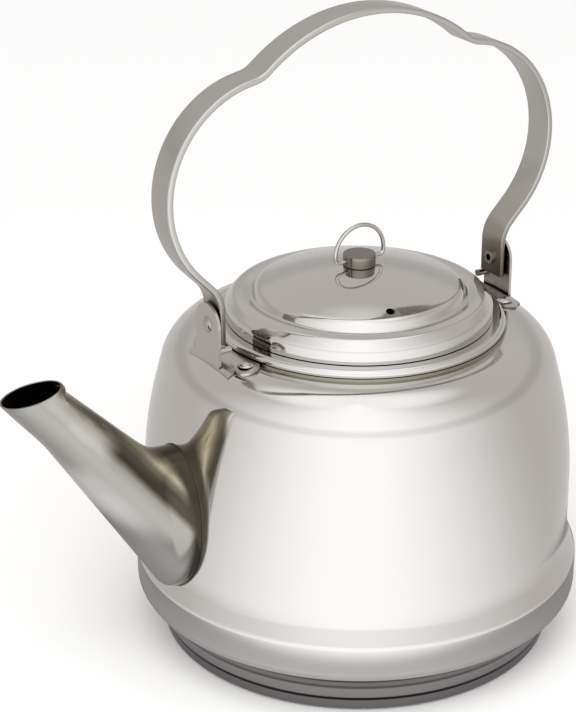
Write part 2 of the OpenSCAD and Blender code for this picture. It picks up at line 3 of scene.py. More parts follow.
import bpy
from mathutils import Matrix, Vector


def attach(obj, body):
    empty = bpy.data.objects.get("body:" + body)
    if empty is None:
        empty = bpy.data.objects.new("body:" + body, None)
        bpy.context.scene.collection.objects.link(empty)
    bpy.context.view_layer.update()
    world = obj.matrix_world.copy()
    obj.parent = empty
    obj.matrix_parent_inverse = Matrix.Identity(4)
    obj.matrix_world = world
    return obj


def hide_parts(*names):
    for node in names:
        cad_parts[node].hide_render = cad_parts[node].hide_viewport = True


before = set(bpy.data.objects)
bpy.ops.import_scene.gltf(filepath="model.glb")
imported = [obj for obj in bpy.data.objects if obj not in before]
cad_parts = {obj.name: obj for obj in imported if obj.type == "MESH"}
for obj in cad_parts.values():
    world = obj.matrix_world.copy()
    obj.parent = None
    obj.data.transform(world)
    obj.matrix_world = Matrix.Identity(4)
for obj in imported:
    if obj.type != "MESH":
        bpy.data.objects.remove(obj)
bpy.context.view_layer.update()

# Sizes are in millimetres, as in the CAD part, and turned to metres where a mesh is made
MM = 0.001

# Vessel: radii and heights of its corners; a corner is (radius, height, rounding)
WALL_R = 92.0
SHEET = 0.8
WELD_GAP = 0.05
SEAM_H = 5.7
SEAM_R = WALL_R - 7.0
CREASE = (WALL_R - 5.0, 12.7, 2.0)
BULGE_CORNER = (WALL_R + 4.2, 22.0, 6.0)
RIDGE = (WALL_R + 4.2, 36.0, 5.0)
WAIST = (WALL_R, 46.0, 20.0)
LEAN = (WALL_R, 92.5, 180.0)
SHOULDER_CORNER = (WALL_R - 11.9, 138.2, 20.0)
SHOULDER_H = 138.8
CAP_SHEET, CAP_IN, CAP_ROUND = 0.7, 0.4, 2.0

# Neck
MOUTH_R = 53.6
RING_SHEET = 0.8
RING_ROUND = 0.4
BEAD_R = 62.0
BEAD_H = 4.4
COLLAR_DEPTH = 8.0
SEAT_H = SHOULDER_H + BEAD_H
NECK_SEAM_OUT = 0.35

# Spout: its mouth's middle, its slope, its tube's radius there and growth per millimetre below
MOUTH_AT = Vector((152.9, 0, 141.9))
SPOUT_ANGLE = math.radians(50.5)
SPOUT_DIR = Vector((math.cos(SPOUT_ANGLE), 0, math.sin(SPOUT_ANGLE)))
SPOUT_UP = Vector((-math.sin(SPOUT_ANGLE), 0, math.cos(SPOUT_ANGLE)))
TUBE_R, TUBE_TAPER = 9.0, 0.111
MOUTH_SLOPE = math.radians(9)
MOUTH_HALF_L, MOUTH_HALF_W = 13.2, 9.1
ROOT_Z, ROOT_HALF_H, ROOT_HALF_W = 72.0, 31.0, 21.2
SPOUT_SIDES = 96
LIP_R, LIP_OUT = 0.28, 0.1
# How long the flares of mouth and root are on the tube's flanks, and how much that differs between
# its upper and lower side; then the lengths of their curves' handles
MOUTH_FLARE, MOUTH_FLARE_SHIFT = 17, 6
ROOT_FLARE, ROOT_FLARE_SHIFT = 15, 4
MOUTH_HANDLE, TUBE_HANDLE, ROOT_HANDLE_SHARE = 4, 5, 0.45

# Strainer holes in an oval field behind the spout
STRAINER_R, STRAINER_STEP, STRAINER_DRILL = 3.0, 9.5, 12.0
FIELD_HALF_H, FIELD_HALF_W = 25.2, 15.4

# Bail handle
PIVOT_H = SHOULDER_H + 15.2
PIVOT_HOLE_R = 2.15
PIVOT_DRILL_X, PIVOT_DRILL = 70.0, 10.0
PIVOT_BORE_R, PIVOT_INNER_X = 1.5, 71.2
STRIP_T, STRIP_W, STRIP_X = 2.6, 14.0, 71.5
TAIL, UPRIGHT = 7.6, 6.6
SPLAY, LOBE_TURN, DIP_TURN = math.radians(44), math.radians(124), math.radians(30)
SPLAY_R, LOBE_R, DIP_R = 15.0, 45.6, 12.0
SPLAY_RUN, LOBE_RUN = 8.4, 1.6

# Lid
LID_SHEET = 0.7
LID_H = SEAT_H + 0.3
LID_R = 56.5
DOME_R, DOME_EDGE, DOME_RISE = 38.0, 14.9, 21.3
DOME_STEP_W, DOME_STEP_DROP = 5.2, 1.8
GROOVE = (45.4, 8.8)
CREST = (49.0, 10.1)
OUTER_CREST = (53.0, 9.5)
LID_EDGE_H = 5.5
LID_ROUNDS = (4.0, 1.2, 2.2, 2.6, 4.0)
VENT_AT, VENT_ANGLE, VENT_R = 38.1, math.radians(75.7), 1.8
SCREW_HOLE_R = 2.2
LID_DRILL, VENT_DRILL_H, SCREW_DRILL_H = 30.0, LID_H + 12, LID_H + 20
SKIRT_GAP, SKIRT_DEPTH, SKIRT_ROUND, SKIRT_IN_R = 0.6, 9.0, 1.5, 43.4

# Button and wire ring
DOME_TOP = LID_H + DOME_RISE
KNOB_R = 13.9 / 2
KNOB_H = 4.9
KNOB_CHAMFER, KNOB_ROUND = 0.2, 0.45
HINGE_H = DOME_TOP + KNOB_H / 2
WIRE_R, LOOP_R = 1.75 / 2, 12.0
WIRE_HOLE_R, WIRE_HOLE_DEPTH = 0.975, 5.6
WIRE_IN = 2.6
WIRE_BEND_R = 1.9
LOOP_LEG, LOOP_LEAN = math.radians(14), math.radians(1)


# ---- outlines ----

def unit(v):
    """The vector at length 1."""
    n = math.hypot(*v)
    return tuple(c / n for c in v)


def corner_arc(a, b, c, radius, steps):
    """Points of the arc that rounds the corner b between a and c."""
    u = unit((a[0] - b[0], a[1] - b[1]))
    w = unit((c[0] - b[0], c[1] - b[1]))
    half = math.acos(max(-1.0, min(1.0, u[0] * w[0] + u[1] * w[1]))) / 2
    mid = unit((u[0] + w[0], u[1] + w[1]))
    centre = (b[0] + mid[0] * radius / math.sin(half), b[1] + mid[1] * radius / math.sin(half))
    run = radius / math.tan(half)
    p = (b[0] + u[0] * run - centre[0], b[1] + u[1] * run - centre[1])
    q = (b[0] + w[0] * run - centre[0], b[1] + w[1] * run - centre[1])
    start = math.atan2(p[1], p[0])
    turn = (math.atan2(q[1], q[0]) - start + 3 * math.pi) % (2 * math.pi) - math.pi
    return [(centre[0] + radius * math.cos(start + turn * i / steps),
             centre[1] + radius * math.sin(start + turn * i / steps)) for i in range(steps + 1)]


def rounded(corners, steps=24):
    """An outline through corners (radius, height, rounding)."""
    line = []
    for i, (r, h, rounding) in enumerate(corners):
        if rounding > 0:
            line += corner_arc(corners[i - 1], corners[i], corners[i + 1], rounding, steps)
        else:
            line.append((r, h))
    return line


def filled_in(line, gap):
    """The same line with points no further apart than gap."""
    out = [line[0]]
    for p, q in zip(line, line[1:]):
        n = max(1, math.ceil(math.hypot(q[0] - p[0], q[1] - p[1]) / gap))
        out += [(p[0] + (q[0] - p[0]) * i / n, p[1] + (q[1] - p[1]) * i / n) for i in range(1, n + 1)]
    return out


def shifted(line, d):
    """The line moved sideways by d, to the left of its direction of travel."""
    out = []
    for i, p in enumerate(line):
        a = line[max(i - 1, 0)]
        b = line[min(i + 1, len(line) - 1)]
        t = unit((b[0] - a[0], b[1] - a[1]))
        out.append((p[0] - d * t[1], p[1] + d * t[0]))
    return out


def sheet_outline(line, thickness):
    """Closed outline of a sheet whose outer face is line, thickness to the left of it."""
    return line + [(max(r, 0.0), h) for r, h in reversed(shifted(line, thickness))]


# ---- mesh helpers ----

def start_alone():
    """Deselects everything, so that an operator works on the new piece alone."""
    if bpy.context.object and bpy.context.object.mode != "OBJECT":
        bpy.ops.object.mode_set(mode="OBJECT")
    bpy.ops.object.select_all(action="DESELECT")


def pick(piece):
    """Makes the piece the one that the next operator works on."""
    start_alone()
    piece.select_set(True)
    bpy.context.view_layer.objects.active = piece


def named(name):
    """Names the piece that was just added."""
    piece = bpy.context.active_object
    piece.name = name
    piece.data.name = name
    return piece


def smooth(piece, angle=30):
    """Shades the piece smooth, with edges sharper than angle kept."""
    pick(piece)
    bpy.ops.object.shade_smooth_by_angle(angle=math.radians(angle))


def turned(name, outline, sides=160, angle=30):
    """A piece spun round the kettle's axis from a closed outline of (radius, height)."""
    start_alone()
    bpy.ops.mesh.primitive_circle_add(vertices=len(outline), radius=0.01, fill_type="NOTHING")
    piece = named(name)
    for v, (r, h) in zip(piece.data.vertices, outline):
        v.co = (r * MM, 0, h * MM)
    bpy.ops.object.mode_set(mode="EDIT")
    bpy.ops.mesh.select_all(action="SELECT")
    bpy.ops.mesh.spin(steps=sides, angle=math.tau, center=(0, 0, 0), axis=(0, 0, 1))
    bpy.ops.mesh.select_all(action="SELECT")
    bpy.ops.mesh.remove_doubles(threshold=1e-6)
    bpy.ops.mesh.delete_loose(use_verts=True, use_edges=True, use_faces=False)
    bpy.ops.mesh.select_all(action="SELECT")
    bpy.ops.mesh.normals_make_consistent(inside=False)
    bpy.ops.object.mode_set(mode="OBJECT")
    smooth(piece, angle)
    return piece


def lofted(name, rings, capped=False, angle=40):
    """A skin through closed rings of equal length; each ring is a list of points in millimetres."""
    start_alone()
    around, along = len(rings[0]), len(rings)
    bpy.ops.mesh.primitive_grid_add(x_subdivisions=around, y_subdivisions=along - 1, size=1,
                                    calc_uvs=True)
    piece = named(name)
    mesh = piece.data
    for v in mesh.vertices:
        i = round((v.co.x + 0.5) * around)
        j = round((v.co.y + 0.5) * (along - 1))
        x, y, z = rings[j][i % around]
        v.co = (x * MM, y * MM, z * MM)
    bpy.ops.object.mode_set(mode="EDIT")
    bpy.ops.mesh.select_all(action="SELECT")
    bpy.ops.mesh.remove_doubles(threshold=1e-7)
    if capped:
        bpy.ops.mesh.select_all(action="DESELECT")
        bpy.ops.mesh.select_mode(type="EDGE")
        bpy.ops.mesh.select_non_manifold(extend=False, use_wire=False, use_multi_face=False,
                                         use_non_contiguous=False, use_verts=False)
        bpy.ops.mesh.edge_face_add()
    bpy.ops.mesh.select_all(action="SELECT")
    bpy.ops.mesh.normals_make_consistent(inside=False)
    bpy.ops.object.mode_set(mode="OBJECT")
    smooth(piece, angle)
    return piece


def dressed_copy(node, angle=30):
    """A copy of a CAD node with its loose triangles joined, so that it can be shaded smooth."""
    piece = bpy.data.objects.new(node + "_dressed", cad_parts[node].data.copy())
    bpy.context.scene.collection.objects.link(piece)
    pick(piece)
    bpy.ops.mesh.customdata_custom_splitnormals_clear()
    bpy.ops.object.mode_set(mode="EDIT")
    bpy.ops.mesh.select_all(action="SELECT")
    bpy.ops.mesh.remove_doubles(threshold=1e-6)
    bpy.ops.object.mode_set(mode="OBJECT")
    smooth(piece, angle)
    return piece


def drilled(piece, drills):
    """Cuts all the drills out of the piece in one pass and removes them."""
    start_alone()
    for drill_piece in drills:
        drill_piece.select_set(True)
    bpy.context.view_layer.objects.active = drills[0]
    bpy.ops.object.join()
    pick(piece)
    cut = piece.modifiers.new("holes", "BOOLEAN")
    cut.operation = "DIFFERENCE"
    cut.object = drills[0]
    cut.solver = "EXACT"
    bpy.ops.object.modifier_apply(modifier=cut.name)
    bpy.data.objects.remove(drills[0], do_unlink=True)


def drill(radius, at, length, axis="Z", sides=32):
    """A round bar in the place of a hole, for drilled() to cut out."""
    start_alone()
    turn = (0, math.pi / 2, 0) if axis == "X" else (0, 0, 0)
    bpy.ops.mesh.primitive_cylinder_add(vertices=sides, radius=radius * MM, depth=length * MM,
                                        location=tuple(c * MM for c in at), rotation=turn)
    return bpy.context.active_object


# ---- materials ----

def linear(hex_colour):
    """An sRGB hex colour as linear red, green, blue and alpha."""
    parts = [int(hex_colour[i:i + 2], 16) / 255 for i in (1, 3, 5)]
    return tuple(c / 12.92 if c <= 0.04045 else ((c + 0.055) / 1.055) ** 2.4 for c in parts) + (1.0,)


def add_node(material, kind, settings=None, values=None, links=None):
    """Adds a node, sets its settings and socket values, and links sockets from (node, socket)."""
    node = material.node_tree.nodes.new(kind)
    for key, value in (settings or {}).items():
        setattr(node, key, value)
    for key, value in (values or {}).items():
        node.inputs[key].default_value = value
    for key, (source, socket) in (links or {}).items():
        material.node_tree.links.new(source.outputs[socket], node.inputs[key])
    return node


# Setting of a Map Range node that goes softly from 0 at its From Min to 1 at its From Max
SOFT_STEP = {"interpolation_type": "SMOOTHSTEP"}


def fill_ramp(node, stops):
    """Gives a colour ramp its stops of (position, colour)."""
    ramp = node.color_ramp
    while len(ramp.elements) < len(stops):
        ramp.elements.new(1.0)
    for stop, (position, colour) in zip(ramp.elements, stops):
        stop.position = position
        stop.color = colour


def banded(material, source, low, high, stops):
    """Colours laid along a value that runs from low to high: stops of (value, hex colour)."""
    along = add_node(material, "ShaderNodeMapRange", None, {"From Min": low, "From Max": high},
                     {"Value": source})
    node = add_node(material, "ShaderNodeValToRGB", None, None, {"Fac": (along, "Result")})
    fill_ramp(node, [((value - low) / (high - low), linear(colour)) for value, colour in stops])
    return node


def place_along(material, axis):
    """How far along X, Y or Z a point of the piece lies, in metres."""
    where = add_node(material, "ShaderNodeTexCoord")
    split = add_node(material, "ShaderNodeSeparateXYZ", None, None, {"Vector": (where, "Object")})
    return split, axis


def coloured(material, node, socket):
    """Gives the material the colour of that node."""
    shader = material.node_tree.nodes["Principled BSDF"]
    material.node_tree.links.new(node.outputs[socket], shader.inputs["Base Color"])


# Pattern scales in cells per metre: duller patches of the polish are about 36 mm wide, the slow ripple of
# drawn sheet 45 mm long, and the edge of the spout's painted light and shade wanders over 14 mm
DULL_PATCHES, SHEET_RIPPLE, SHADE_EDGE_WANDER = 28.0, 22.0, 70.0


def steel(name, colour, roughness, wave=0.0, grain=None, grain_depth=0.0, spread=0.02):
    """Stainless steel: wave is the depth in metres of the slow ripple of drawn sheet, grain the
    stretch of the polishing lines in lines per metre along X, Y and Z."""
    material = bpy.data.materials.new(name)
    material.use_nodes = True
    shader = material.node_tree.nodes["Principled BSDF"]
    shader.inputs["Base Color"].default_value = linear(colour)
    shader.inputs["Metallic"].default_value = 1.0
    where = add_node(material, "ShaderNodeTexCoord")
    cloud = add_node(material, "ShaderNodeTexNoise", values={"Scale": DULL_PATCHES, "Detail": 3.0},
                     links={"Vector": (where, "Object")})
    blur = add_node(material, "ShaderNodeMapRange",
                    values={"From Min": 0.3, "From Max": 0.7, "To Min": roughness - spread,
                            "To Max": roughness + spread},
                    links={"Value": (cloud, "Fac")})
    height = None
    if grain:
        lines = add_node(material, "ShaderNodeMapping", values={"Scale": grain},
                         links={"Vector": (where, "Object")})
        brush = add_node(material, "ShaderNodeTexNoise", values={"Scale": 1.0, "Detail": 2.0},
                         links={"Vector": (lines, "Vector")})
        height = add_node(material, "ShaderNodeBump",
                          values={"Strength": 1.0, "Distance": grain_depth},
                          links={"Height": (brush, "Fac")})
    if wave:
        ripple = add_node(material, "ShaderNodeTexNoise", values={"Scale": SHEET_RIPPLE, "Detail": 1.0},
                          links={"Vector": (where, "Object")})
        links = {"Height": (ripple, "Fac")}
        if height:
            links["Normal"] = (height, "Normal")
        height = add_node(material, "ShaderNodeBump", values={"Strength": 1.0, "Distance": wave},
                          links=links)
    material.node_tree.links.new(blur.outputs["Result"], shader.inputs["Roughness"])
    if height:
        material.node_tree.links.new(height.outputs["Normal"], shader.inputs["Normal"])
    return material


def corner_shaded(material, colour, shade_colour, reach):
    """Painted shade in the corners of the piece: darker where other faces stand within reach."""
    corner = add_node(material, "ShaderNodeAmbientOcclusion", {"samples": 8}, {"Distance": reach})
    open_share = add_node(material, "ShaderNodeMapRange", SOFT_STEP,
                          {"From Min": 0.45, "From Max": 0.95}, {"Value": (corner, "AO")})
    mixed = add_node(material, "ShaderNodeMix", {"data_type": "RGBA"},
                     {"A": linear(shade_colour), "B": linear(colour)}, {"Factor": (open_share, "Result")})
    coloured(material, mixed, "Result")


# AISI 304 sheet, deep drawn and buffed to a mirror: slightly warm grey, with a faint slow ripple
buffed_sheet = steel("mirror_polished_stainless", "#cfccc8", 0.07, wave=0.00012)
# Painted shade on the foot, for the shaded floor it mirrors: darker below the crease, with dark lines
# painted in the crease and at the seam
coloured(buffed_sheet, banded(buffed_sheet, place_along(buffed_sheet, "Z"), 0.0, 0.025, (
    (0.0, "#918c8a"), (0.0048, "#8b8684"), (0.0053, "#2c2827"), (0.0062, "#2c2827"),
    (0.0068, "#a8a3a0"), (0.0112, "#a8a3a0"), (0.0121, "#66615f"), (0.0127, "#66615f"),
    (0.0133, "#c4c1bd"), (0.0160, "#cfccc8"))), "Color")
# The same sheet pressed to the lid
buffed_lid = steel("mirror_polished_lid", "#cecbc7", 0.06, wave=0.00008)
# Cold-rolled strip, satin finish: soft grey with fine lines along the bend, and painted shade that darkens
# it towards its ends.
# The real lines are too fine to show, so they are drawn 0.4 mm wide and 2.5 mm long
STRIP_LINES = (400.0, 2500.0, 400.0)
satin_strip = steel("satin_rolled_strip", "#bdbab5", 0.27, grain=STRIP_LINES, grain_depth=0.00001)
# Painted shade: the strip is painted darker towards its ends at the pivots
coloured(satin_strip, banded(satin_strip, place_along(satin_strip, "Z"), 0.14, 0.26, (
    (0.145, "#5f594f"), (0.158, "#837d74"), (0.170, "#b0aca5"), (0.190, "#bdbab5"))), "Color")
# Upset rivets: bright but not mirror flat, with painted shade round the heads
# Colour of the painted shade in corners
CORNER_SHADE = "#35312d"
bright_rivet = steel("bright_upset_rivet", "#bdbab6", 0.20)
corner_shaded(bright_rivet, "#bdbab6", CORNER_SHADE, 0.0012)
# Pivot rivets: the bore of their rolled inner ends is painted near black, as painted shade inside the hole
hollow_rivet = steel("hollow_pivot_rivet", "#a9a49c", 0.20)
bore_place = add_node(hollow_rivet, "ShaderNodeTexCoord")
from_pivot = add_node(hollow_rivet, "ShaderNodeVectorMath", {"operation": "SUBTRACT"},
                      {1: (0, 0, PIVOT_H * MM)}, {0: (bore_place, "Object")})
across = add_node(hollow_rivet, "ShaderNodeVectorMath", {"operation": "MULTIPLY"}, {1: (0, 1, 1)},
                  {0: (from_pivot, "Vector")})
bore_reach = add_node(hollow_rivet, "ShaderNodeVectorMath", {"operation": "LENGTH"}, None,
                      {0: (across, "Vector")})
bore_out = add_node(hollow_rivet, "ShaderNodeMath", {"operation": "ABSOLUTE"}, None,
                    {0: place_along(hollow_rivet, "X")})
rim_share = add_node(hollow_rivet, "ShaderNodeMapRange", SOFT_STEP,
                     {"From Min": (PIVOT_BORE_R - 0.1) * MM, "From Max": (PIVOT_BORE_R + 0.2) * MM},
                     {"Value": (bore_reach, "Value")})
outer_share = add_node(hollow_rivet, "ShaderNodeMapRange", SOFT_STEP,
                       {"From Min": PIVOT_INNER_X * MM, "From Max": (PIVOT_INNER_X + 0.6) * MM},
                       {"Value": (bore_out, "Value")})
bright_share = add_node(hollow_rivet, "ShaderNodeMath", {"operation": "MAXIMUM"}, None,
                        {0: (rim_share, "Result"), 1: (outer_share, "Result")})
# Painted shade: near black inside the bore, the plain colour elsewhere
coloured(hollow_rivet, add_node(hollow_rivet, "ShaderNodeMix", {"data_type": "RGBA"},
                                {"A": linear("#12100d"), "B": linear("#b3afa8")},
                                {"Factor": (bright_share, "Value")}), "Result")
# Blanked bracket sheet, tumbled to an even soft grey, with painted shade where it meets other pieces
tumbled_bracket = steel("tumbled_bracket_sheet", "#c2bcb9", 0.28)
corner_shaded(tumbled_bracket, "#c2bcb9", CORNER_SHADE, 0.0016)
# Button turned from bar: darker, with upright lines, drawn 1.1 mm wide and 25 mm long so that they
# show
BUTTON_LINES = (900.0, 900.0, 40.0)
turned_bar = steel("lathe_turned_button", "#857f77", 0.15, grain=BUTTON_LINES, grain_depth=0.00003)
# A fillet round the neck under the bead, dull dark olive: painted shade for the dark line under the bead
neck_fillet_shade = steel("neck_fillet_painted_shade", "#8d8978", 0.16)
# Mill-finish inner sheet: greyer and duller
mill_sheet = steel("mill_finish_sheet", "#a8a6a2", 0.35)
# Drawn wire
drawn_wire = steel("drawn_bright_wire", "#bfbbb5", 0.12)


def dress(piece, material):
    """Gives the piece that material alone."""
    piece.data.materials.clear()
    piece.data.materials.append(material)


# ---- body ----

def body_line(gap=1.6):
    """The outer face of the vessel from its seam up to the mouth."""
    return filled_in(rounded([
        (SEAM_R, SEAM_H, 0), CREASE, BULGE_CORNER, RIDGE, WAIST, LEAN, SHOULDER_CORNER,
        (MOUTH_R + RING_SHEET + WELD_GAP, SHOULDER_H, 0)]), gap)


def at_height(line, z):
    """Radius of a line at a height."""
    for (r0, h0), (r1, h1) in zip(line, line[1:]):
        if h0 <= z <= h1:
            return r0 + (r1 - r0) * (z - h0) / (h1 - h0)
    return line[-1][0]


wall_line = body_line()
body = turned("vessel_wall", sheet_outline(wall_line, SHEET), sides=180)
holes = []
for row in (-2, -1, 0, 1, 2):
    for column in (-1, 0, 1):
        if math.hypot(row * STRAINER_STEP / FIELD_HALF_H, column * STRAINER_STEP / FIELD_HALF_W) <= 1:
            holes.append(drill(STRAINER_R, (WALL_R, column * STRAINER_STEP, ROOT_Z + row * STRAINER_STEP),
                               STRAINER_DRILL, axis="X", sides=24))
drilled(body, holes)
smooth(body)
dress(body, buffed_sheet)
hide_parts("body_shell")
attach(body, "kettle")

bead = BEAD_H / 2
bead_round = bead * 0.98
ring = turned("neck_bead", sheet_outline(filled_in(rounded([
    (BEAD_R - bead, SHOULDER_H + WELD_GAP, 0),
    (BEAD_R, SHOULDER_H + WELD_GAP, bead_round),
    (BEAD_R, SEAT_H, bead_round),
    (MOUTH_R, SEAT_H, RING_SHEET + RING_ROUND),
    (MOUTH_R, SHOULDER_H - COLLAR_DEPTH, 0)], 12), 2), RING_SHEET), sides=160)
dress(ring, buffed_sheet)
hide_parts("neck_ring")
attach(ring, "kettle")


def shoulder_height(radius):
    """Height of the shoulder's outer face at a radius near the neck."""
    for (r0, h0), (r1, h1) in zip(wall_line[-1:0:-1], wall_line[-2::-1]):
        if r0 <= radius <= r1:
            return h0 + (h1 - h0) * (radius - r0) / (r1 - r0)
    return SHOULDER_H


# A fillet in the corner under the bead, painted dark as the shade there: a thin closed outline from under
# the bead to its side
seam_foot = BEAD_R + NECK_SEAM_OUT
neck_seam = turned("neck_seam", [
    (BEAD_R - bead * 0.8, shoulder_height(BEAD_R - bead) + 0.04),
    (seam_foot, shoulder_height(seam_foot) + 0.03),
    (BEAD_R + NECK_SEAM_OUT * 0.2, shoulder_height(BEAD_R) + bead * 0.3),
    (BEAD_R - 0.08, shoulder_height(BEAD_R) + bead * 0.5)], sides=160, angle=50)
dress(neck_seam, neck_fillet_shade)
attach(neck_seam, "kettle")

cap = turned("bottom_cap", sheet_outline(filled_in(rounded([
    (0, 0, 0), (SEAM_R - CAP_IN, 0, CAP_ROUND), (SEAM_R, SEAM_H - WELD_GAP, 0)], 12), 6), CAP_SHEET),
    sides=160)
dress(cap, buffed_sheet)
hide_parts("base_cap")
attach(cap, "kettle")


# ---- spout ----

SIDEWAYS = Vector((0, 1, 0))
MOUTH_ALONG = Vector((math.cos(MOUTH_SLOPE), 0, -math.sin(MOUTH_SLOPE)))


def tube(a, s, inset):
    """Point of the plain tube at angle a, s below the mouth, inset from the outer face."""
    radius = TUBE_R + TUBE_TAPER * s - inset
    return MOUTH_AT - s * SPOUT_DIR + radius * (math.cos(a) * SPOUT_UP + math.sin(a) * SIDEWAYS)


def spout_mouth(a, inset):
    """Point of the mouth's edge."""
    return (MOUTH_AT - (MOUTH_HALF_L - inset) * math.cos(a) * MOUTH_ALONG
            + (MOUTH_HALF_W - inset) * math.sin(a) * SIDEWAYS)


def spout_root(a, inset):
    """Point of the root's edge, on the vessel's wall."""
    y = (ROOT_HALF_W - inset) * math.sin(a)
    z = ROOT_Z + (ROOT_HALF_H - inset) * math.cos(a)
    return Vector((math.sqrt((at_height(wall_line, z) + WELD_GAP) ** 2 - y * y), y, z))


def bezier(a, b, c, d, t):
    """Point at t of the curve from a to d with handles b and c."""
    return (1 - t) ** 3 * a + 3 * t * (1 - t) ** 2 * b + 3 * t * t * (1 - t) * c + t ** 3 * d


def spout_line(a, inset):
    """One line down the spout at angle a: mouth flare, plain tube, root flare."""
    m, r = spout_mouth(a, inset), spout_root(a, inset)
    start = MOUTH_FLARE - MOUTH_FLARE_SHIFT * math.cos(a)
    root_depth = (tube(a, 0, inset) - r).dot(SPOUT_DIR)
    end = root_depth - ROOT_FLARE - ROOT_FLARE_SHIFT * math.cos(a)
    p, q = tube(a, start, inset), tube(a, end, inset)
    reach = (q - r).length * ROOT_HANDLE_SHARE
    down = (tube(a, 1, inset) - tube(a, 0, inset)).normalized()
    outward = Vector((r.x, r.y, 0)).normalized()
    return ([bezier(m, m + down * MOUTH_HANDLE, p - down * TUBE_HANDLE, p, i / 14) for i in range(15)]
            + [p + (q - p) * i / 10 for i in range(1, 10)]
            + [bezier(q, q + down * reach, r + outward * reach, r, i / 20) for i in range(21)])


def distance_along(material, start, way):
    """How far a point of the piece lies from start in direction way, in millimetres."""
    where = add_node(material, "ShaderNodeTexCoord")
    from_start = add_node(material, "ShaderNodeVectorMath", {"operation": "SUBTRACT"}, {1: start * MM},
                          {0: (where, "Object")})
    return add_node(material, "ShaderNodeVectorMath", {"operation": "DOT_PRODUCT"}, {1: way / MM},
                    {0: (from_start, "Vector")})


def spout_steel():
    """Belt-polished spout with painted light and shade by height across the tube: greyer on its flanks, and
    the upper side of the root painted an uneven dark olive as a painted reflection, with a painted
    highlight streak, darkest along its lower edge."""
    material = steel("belt_polished_spout", "#cac7c2", 0.15, wave=0.0001)
    where = add_node(material, "ShaderNodeTexCoord")
    uneven = add_node(material, "ShaderNodeTexNoise", values={"Scale": SHADE_EDGE_WANDER, "Detail": 3.0},
                      links={"Vector": (where, "Object")})
    level = distance_along(material, MOUTH_AT, SPOUT_UP)
    wavy = add_node(material, "ShaderNodeMath", {"operation": "MULTIPLY_ADD"}, {1: 3.0},
                    {0: (uneven, "Fac"), 2: (level, "Value")})
    # Painted light and shade across the tube near the mouth: lighter below and in a band above the middle,
    # darker on the flanks and the top
    plain = banded(material, (wavy, "Value"), -20.0, 20.0,
                   ((-13.0, "#b3b0ab"), (-8.0, "#8f8c87"), (0.5, "#9b9892"), (4.0, "#c9c6c0"),
                    (7.5, "#d8d4ca"), (9.5, "#8f8a7c"), (12.0, "#6f6a5d")))
    # Near the root: a painted dark reflection on the upper side, with a painted highlight streak
    root_painted_light = banded(material, (wavy, "Value"), -20.0, 20.0,
                    ((-10.0, "#bab7b2"), (-4.0, "#98958f"), (3.5, "#98948c"), (6.5, "#4a453d"),
                     (10.5, "#4f4a40"), (13.0, "#78725f"), (15.0, "#b9b298"), (17.5, "#7a7460"),
                     (20.0, "#4d473a")))
    below = distance_along(material, MOUTH_AT, -SPOUT_DIR)
    root_share = add_node(material, "ShaderNodeMapRange", SOFT_STEP,
                          {"From Min": 28.0, "From Max": 44.0}, {"Value": (below, "Value")})
    both = add_node(material, "ShaderNodeMix", {"data_type": "RGBA"}, None,
                    {"Factor": (root_share, "Result"), "A": (plain, "Color"), "B": (root_painted_light, "Color")})
    # Painted shade: a dark line where the lower root meets the wall
    flat = add_node(material, "ShaderNodeVectorMath", {"operation": "MULTIPLY"}, {1: (1, 1, 0)},
                    {0: (where, "Object")})
    from_axis = add_node(material, "ShaderNodeVectorMath", {"operation": "LENGTH"}, None,
                         {0: (flat, "Vector")})
    clear_share = add_node(material, "ShaderNodeMapRange", SOFT_STEP,
                           {"From Min": 0.0945, "From Max": 0.0985}, {"Value": (from_axis, "Value")})
    root_shaded = add_node(material, "ShaderNodeMix", {"data_type": "RGBA"}, {"A": linear("#4b463d")},
                      {"Factor": (clear_share, "Result"), "B": (both, "Result")})
    coloured(material, root_shaded, "Result")
    return material


outer_lines = [spout_line(math.tau * k / SPOUT_SIDES, 0) for k in range(SPOUT_SIDES)]
inner_lines = [spout_line(math.tau * k / SPOUT_SIDES, SHEET) for k in range(SPOUT_SIDES)]
count = len(outer_lines[0])
rings = [[inner_lines[k][j] for k in range(SPOUT_SIDES)] for j in range(count - 1, -1, -1)]
rings += [[outer_lines[k][j] for k in range(SPOUT_SIDES)] for j in range(count)]
spout = lofted("pouring_spout", rings)
buffed_spout = spout_steel()
dress(spout, buffed_spout)
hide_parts("spout")
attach(spout, "kettle")

# Fine lip where the spout's edge is pressed on the wall
lip_rings = []
for k in range(SPOUT_SIDES + 1):
    a = math.tau * k / SPOUT_SIDES
    middle = spout_root(a, -LIP_OUT)
    outward = Vector((middle.x, middle.y, 0)).normalized()
    sideways = (spout_root(a, -LIP_OUT - 1) - middle).normalized()
    lip_rings.append([middle + LIP_R * (math.cos(b) * outward + math.sin(b) * sideways)
                      for b in [math.tau * i / 12 for i in range(12)]])
lip = lofted("spout_root_lip", lip_rings)
dress(lip, buffed_spout)
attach(lip, "kettle")


# ---- bail handle ----

def arc_from(p, heading, radius, turn, steps):
    """Points of an arc from p that starts at heading and turns by turn, left when positive."""
    side = 1 if turn > 0 else -1
    out = []
    for i in range(1, steps + 1):
        b = heading + turn * i / steps
        out.append((p[0] + side * radius * (math.sin(b) - math.sin(heading)),
                    p[1] + side * radius * (math.cos(heading) - math.cos(b))))
    return out


def straight_from(p, heading, run):
    """The point that lies run further from p in the direction heading."""
    return (p[0] + run * math.cos(heading), p[1] + run * math.sin(heading))


